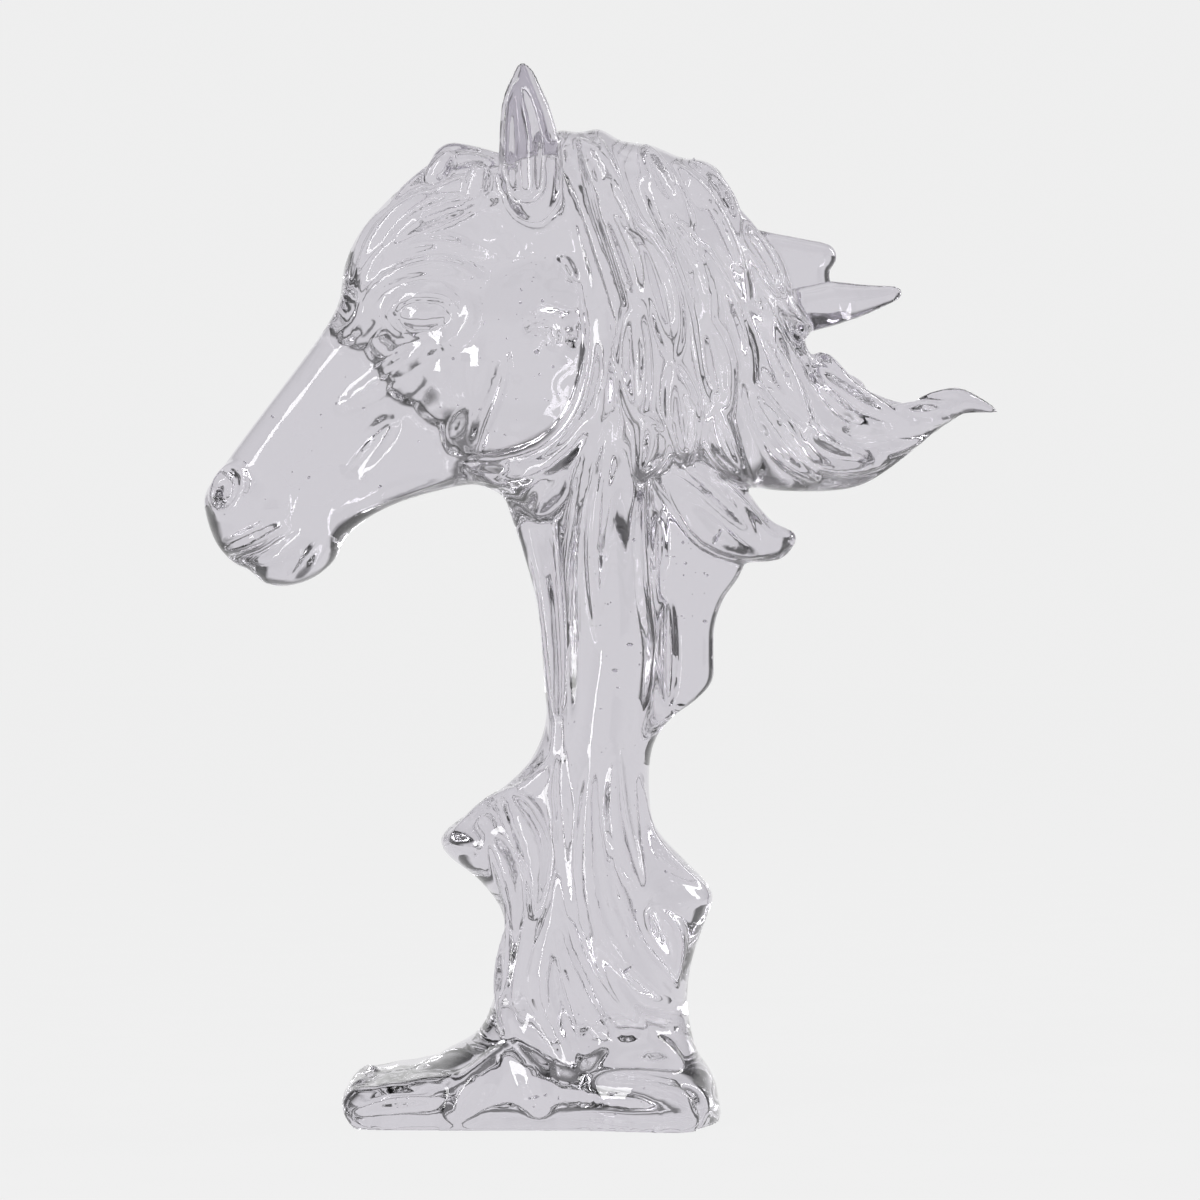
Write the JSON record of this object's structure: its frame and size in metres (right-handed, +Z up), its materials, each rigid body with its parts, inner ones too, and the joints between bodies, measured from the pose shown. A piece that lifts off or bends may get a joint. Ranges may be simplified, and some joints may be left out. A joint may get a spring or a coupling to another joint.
{
  "type": "horse head sculpture",
  "caption": "Horse's head with pricked ears and a wind-blown mane on a draped neck and a low foot, cast in one piece of clear resin.",
  "frame": {"origin": "on the flat underside, below the neck, in the middle plane", "axes": "the horse looks along -X, its mane blows towards +X, its left side faces -Y, and +Z is up"},
  "size_m": [0.2254, 0.0847, 0.298],
  "materials": {
    "clear_resin": "clear, faint lilac, polished"
  },
  "bodies": {
    "root": {"horse_head_casting": "clear_resin"}
  },
  "joints": []
}
